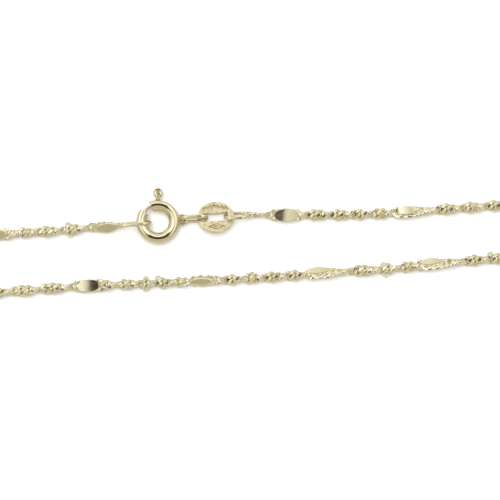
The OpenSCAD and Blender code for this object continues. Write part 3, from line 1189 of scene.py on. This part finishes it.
@dataclass(frozen=True)
class GoldWear:
    """The fine marks that all the gold shares: tone, gloss and height that change over it."""

    name: str = "gold_wear"
    patch_range: tuple[float, float] = (0.35, 0.65)

    def group(self) -> bpy.types.NodeTree:
        """Makes the node group.

        Returns:
            The group, with inputs for tones and sizes and outputs for colour, roughness and height.
        """
        tree = bpy.data.node_groups.new(self.name, "ShaderNodeTree")
        for label, kind, start in (("Light Tone", "NodeSocketColor", (0.8, 0.8, 0.8, 1.0)),
                                   ("Deep Tone", "NodeSocketColor", (0.6, 0.6, 0.6, 1.0)),
                                   ("Grain Scale", "NodeSocketFloat", 900.0),
                                   ("Patch Scale", "NodeSocketFloat", 250.0),
                                   ("Gloss", "NodeSocketFloat", 0.1),
                                   ("Gloss Spread", "NodeSocketFloat", 0.1)):
            tree.interface.new_socket(label, in_out="INPUT", socket_type=kind).default_value = start
        for label, kind in (("Color", "NodeSocketColor"), ("Roughness", "NodeSocketFloat"),
                            ("Height", "NodeSocketFloat")):
            tree.interface.new_socket(label, in_out="OUTPUT", socket_type=kind)
        nodes, links = tree.nodes, tree.links
        come, leave = nodes.new("NodeGroupInput"), nodes.new("NodeGroupOutput")
        where = nodes.new("ShaderNodeTexCoord")
        grain, patch = nodes.new("ShaderNodeTexNoise"), nodes.new("ShaderNodeTexNoise")
        for noise, label, detail in ((grain, "Grain Scale", 3.0), (patch, "Patch Scale", 2.0)):
            noise.inputs["Detail"].default_value = detail
            links.new(where.outputs["Object"], noise.inputs["Vector"])
            links.new(come.outputs[label], noise.inputs["Scale"])
        start, stop = self.patch_range
        spread = set_sockets(nodes.new("ShaderNodeMapRange"), {"From Min": start, "From Max": stop})
        links.new(patch.outputs["Fac"], spread.inputs["Value"])
        tone = nodes.new("ShaderNodeMix")
        tone.data_type = "RGBA"
        links.new(come.outputs["Light Tone"], tone.inputs["A"])
        links.new(come.outputs["Deep Tone"], tone.inputs["B"])
        links.new(spread.outputs["Result"], tone.inputs["Factor"])
        links.new(tone.outputs["Result"], leave.inputs["Color"])
        gloss = nodes.new("ShaderNodeMath")
        gloss.operation = "MULTIPLY_ADD"
        links.new(grain.outputs["Fac"], gloss.inputs[0])
        links.new(come.outputs["Gloss Spread"], gloss.inputs[1])
        links.new(come.outputs["Gloss"], gloss.inputs[2])
        links.new(gloss.outputs["Value"], leave.inputs["Roughness"])
        links.new(grain.outputs["Fac"], leave.inputs["Height"])
        return tree


@dataclass(frozen=True)
class Finish:
    """A gold finish: its tones, its gloss and the fine marks of its surface."""

    slot: Slot
    light: Colour
    deep: Colour
    gloss: float
    gloss_spread: float
    grain_scale: float
    patch_scale: float
    grain_height: float

    def material(self, wear: bpy.types.NodeTree) -> bpy.types.Material:
        """Makes the material.

        Args:
            wear: the node group of fine marks.

        Returns:
            A metal whose tone, gloss and height change over the surface.
        """
        material = bpy.data.materials.new(self.slot.value)
        material.use_nodes = True
        nodes, links = material.node_tree.nodes, material.node_tree.links
        shader = set_sockets(nodes["Principled BSDF"], {"Metallic": 1.0})
        marks = nodes.new("ShaderNodeGroup")
        marks.node_tree = wear
        set_sockets(marks, {"Light Tone": (*self.light, 1.0), "Deep Tone": (*self.deep, 1.0),
                            "Grain Scale": self.grain_scale, "Patch Scale": self.patch_scale,
                            "Gloss": self.gloss, "Gloss Spread": self.gloss_spread})
        links.new(marks.outputs["Color"], shader.inputs["Base Color"])
        links.new(marks.outputs["Roughness"], shader.inputs["Roughness"])
        bump = set_sockets(nodes.new("ShaderNodeBump"),
                           {"Strength": 1.0, "Distance": self.grain_height * MM})
        links.new(marks.outputs["Height"], bump.inputs["Height"])
        links.new(bump.outputs["Normal"], shader.inputs["Normal"])
        return material


FINISHES = (
    Finish(Slot.CHAIN, (0.91, 0.87, 0.69), (0.87, 0.81, 0.60), 0.08, 0.10, 2600, 700, 0.004),
    Finish(Slot.MIRROR, (0.88, 0.83, 0.63), (0.84, 0.78, 0.56), 0.05, 0.07, 1500, 500, 0.003),
    Finish(Slot.CLASP, (0.87, 0.80, 0.58), (0.83, 0.75, 0.50), 0.05, 0.06, 1800, 400, 0.002),
    Finish(Slot.RING, (0.86, 0.79, 0.57), (0.81, 0.73, 0.49), 0.09, 0.08, 1800, 500, 0.003),
    Finish(Slot.TAG, (0.92, 0.84, 0.58), (0.68, 0.59, 0.36), 0.28, 0.2, 5200, 2600, 0.03),
)


@dataclass
class Studio:
    """The table, the light and the camera, which looks straight down."""

    frame_width: float = 61.5
    lens: float = 135.0
    sensor: float = 36.0
    row_slope: float = 3.72
    table_size: float = 1.6
    table_pale: Colour = (0.87, 0.87, 0.87)
    table_mirrored: Colour = (0.52, 0.50, 0.43)
    table_rough: float = 0.8
    room: tuple[tuple[float, Colour], ...] = (
        (-180, (0.30, 0.28, 0.22)), (-110, (0.42, 0.39, 0.28)), (-80, (0.68, 0.64, 0.50)),
        (-56, (0.40, 0.38, 0.29)), (-40, (0.48, 0.45, 0.36)), (-22, (0.74, 0.72, 0.66)),
        (0, (1.05, 1.04, 1.05)), (30, (1.26, 1.26, 1.32)), (48, (0.92, 0.91, 0.88)),
        (68, (0.6, 0.57, 0.47)), (92, (1.1, 1.08, 1.06)), (120, (0.8, 0.77, 0.68)),
        (180, (0.3, 0.29, 0.25)),
    )
    dark_share: tuple[tuple[float, Colour], ...] = (
        (-24, (0, 0, 0)), (-19, (1, 1, 1)), (29, (1, 1, 1)), (34, (0, 0, 0)),
    )
    side_from: float = 0.55
    side_share: float = 0.5
    dark_middle: float = 0.06
    dark_half: tuple[float, float] = (0.03, 0.11)
    dark_flare: float = 0.6
    dark_tone: Colour = (0.055, 0.045, 0.03)
    strength: float = 1.22
    lamp_at: tuple[float, float, float] = (-0.04, 0.13, 0.5)
    lamp_size: float = 0.4
    lamp_power: float = 2.2

    def table(self) -> None:
        """Lays the pale table, which lies darker in the metal's reflections than it looks."""
        half = self.table_size / 2
        mesh = bpy.data.meshes.new("table")
        mesh.from_pydata([(-half, -half, 0), (half, -half, 0), (half, half, 0), (-half, half, 0)], [],
                         [(0, 1, 2, 3)])
        material = bpy.data.materials.new("table_paint")
        material.use_nodes = True
        nodes, links = material.node_tree.nodes, material.node_tree.links
        pale = set_sockets(nodes["Principled BSDF"], {"Base Color": (*self.table_pale, 1.0),
                                                      "Roughness": self.table_rough})
        card = set_sockets(nodes.new("ShaderNodeBsdfDiffuse"), {"Color": (*self.table_mirrored, 1.0)})
        both, path = nodes.new("ShaderNodeMixShader"), nodes.new("ShaderNodeLightPath")
        links.new(path.outputs["Is Glossy Ray"], both.inputs["Fac"])
        links.new(pale.outputs["BSDF"], both.inputs[1])
        links.new(card.outputs["BSDF"], both.inputs[2])
        links.new(both.outputs["Shader"], nodes["Material Output"].inputs["Surface"])
        mesh.materials.append(material)
        piece = bpy.data.objects.new("table", mesh)
        bpy.context.scene.collection.objects.link(piece)

    def maths(self, tree: bpy.types.NodeTree, what: str, *values: bpy.types.NodeSocket | float
              ) -> bpy.types.NodeSocket:
        """Adds one step of working out.

        Args:
            tree: the world's node tree.
            what: the operation.
            values: its sockets or numbers.

        Returns:
            The socket of its result.
        """
        node = tree.nodes.new("ShaderNodeMath")
        node.operation = what
        for place, value in zip(node.inputs, values):
            if isinstance(value, bpy.types.NodeSocket):
                tree.links.new(value, place)
            else:
                place.default_value = value
        return node.outputs["Value"]

    def eased(self, tree: bpy.types.NodeTree, value: bpy.types.NodeSocket, start: float, stop: float,
              low: float = 0.0, high: float = 1.0) -> bpy.types.NodeSocket:
        """Eases a value from low to high between start and stop.

        Args:
            tree: the world's node tree.
            value: the socket that is eased.
            start: value at which the result is low.
            stop: value at which the result is high.
            low: result at and before the start.
            high: result at and after the stop.

        Returns:
            The socket of the result.
        """
        node = tree.nodes.new("ShaderNodeMapRange")
        node.interpolation_type = "SMOOTHSTEP"
        set_sockets(node, {"From Min": start, "From Max": stop, "To Min": low, "To Max": high})
        tree.links.new(value, node.inputs["Value"])
        return node.outputs["Result"]

    def ramp(self, tree: bpy.types.NodeTree, share: bpy.types.NodeSocket,
             stops: tuple[tuple[float, Colour], ...]) -> bpy.types.NodeSocket:
        """Tones by angle from the front wall, over the ceiling, to the back wall.

        Args:
            tree: the world's node tree.
            share: the angle as a share of a full turn, with the middle of the ceiling at 0.5.
            stops: angles from the middle of the ceiling in degrees, with their tones.

        Returns:
            The socket of the tone.
        """
        tones = tree.nodes.new("ShaderNodeValToRGB")
        ramp = tones.color_ramp.elements
        while len(ramp) < len(stops):
            ramp.new(0.5)
        for stop, (angle, tone) in zip(ramp, stops):
            stop.position = angle / 360 + 0.5
            stop.color = (*tone, 1.0)
        tree.links.new(share, tones.inputs["Fac"])
        return tones.outputs["Color"]

    def light(self) -> None:
        """Sets up the soft pale room with its dark cloths overhead, and the lamp that lights the table."""
        scene = bpy.context.scene
        world = bpy.data.worlds.new("soft_room")
        scene.world = world
        world.use_nodes = True
        tree = world.node_tree
        back = tree.nodes["Background"]
        where, parts = tree.nodes.new("ShaderNodeTexCoord"), tree.nodes.new("ShaderNodeSeparateXYZ")
        tree.links.new(where.outputs["Generated"], parts.inputs["Vector"])
        x, y, z = parts.outputs["X"], parts.outputs["Y"], parts.outputs["Z"]
        sides = self.eased(tree, self.maths(tree, "ABSOLUTE", x), self.side_from, 1.0, 1.0,
                           1.0 - self.side_share)
        aside = self.maths(tree, "ABSOLUTE", self.maths(tree, "SUBTRACT", x, self.dark_middle))
        aside = self.maths(tree, "MULTIPLY_ADD", self.maths(tree, "ABSOLUTE", y), -self.dark_flare, aside)
        turn = self.maths(tree, "MULTIPLY_ADD", self.maths(tree, "ARCTAN2", y, z), 0.5 / math.pi, 0.5)
        dark = self.maths(tree, "MULTIPLY", self.eased(tree, aside, *self.dark_half, 1.0, 0.0),
                          self.ramp(tree, turn, self.dark_share))
        room = tree.nodes.new("ShaderNodeMix")
        room.data_type = "RGBA"
        room.inputs["B"].default_value = (*self.dark_tone, 1)
        tree.links.new(dark, room.inputs["Factor"])
        tree.links.new(self.ramp(tree, turn, self.room), room.inputs["A"])
        tree.links.new(room.outputs["Result"], back.inputs["Color"])
        tree.links.new(self.maths(tree, "MULTIPLY", sides, self.strength), back.inputs["Strength"])
        lamp_data = bpy.data.lights.new("lamp", "AREA")
        lamp_data.shape = "DISK"
        lamp_data.size = self.lamp_size
        lamp_data.energy = self.lamp_power
        lamp = bpy.data.objects.new("lamp", lamp_data)
        lamp.location = self.lamp_at
        lamp.rotation_euler = Vector(lamp.location).to_track_quat("Z", "Y").to_euler()
        lamp.visible_glossy = False
        scene.collection.objects.link(lamp)
        scene.view_settings.view_transform = "Standard"

    def camera(self) -> None:
        """Sets the camera straight above, turned so that the rows rise to the right."""
        data = bpy.data.cameras.new("camera")
        data.lens = self.lens
        data.sensor_width = self.sensor
        data.clip_start = 0.01
        camera = bpy.data.objects.new("camera", data)
        camera.location = (0, 0, self.frame_width * MM * self.lens / self.sensor)
        camera.rotation_euler = (0, 0, -math.radians(self.row_slope))
        bpy.context.scene.collection.objects.link(camera)
        bpy.context.scene.camera = camera


def main() -> None:
    """Builds the table, the light, the camera and every piece of the chain."""
    logging.basicConfig(level=logging.INFO, format="%(name)s: %(message)s")
    studio = Studio()
    studio.table()
    studio.light()
    studio.camera()
    wear = GoldWear().group()
    golds = {finish.slot: finish.material(wear) for finish in FINISHES}
    route, mirrors = Route(), MirrorRow()
    TwistedChain(route, mirrors, Twist(mirrors, route.length), golds[Slot.CHAIN]).build()
    leaf = MirrorLeaf(route, mirrors, golds[Slot.MIRROR])
    for number in range(1, mirrors.count + 1):
        leaf.build(number)
    clasp = SpringRing(golds[Slot.CLASP])
    clasp.body()
    clasp.bolt()
    for ring in (("end_ring", (-13.88, 4.11), 4.16, 2.36, 0.45, 7.0, 1.4),
                 ("clasp_link", (-6.58, 4.3), 3.48, 1.9, 0.54, -18.0),
                 ("tag_ring", (-1.405, 4.31), 3.13, 2.0, 0.42, 23.0)):
        StandingRing(golds[Slot.RING], *ring).build()
    OvalTag(golds[Slot.TAG]).build()


if __name__ == "__main__":
    main()
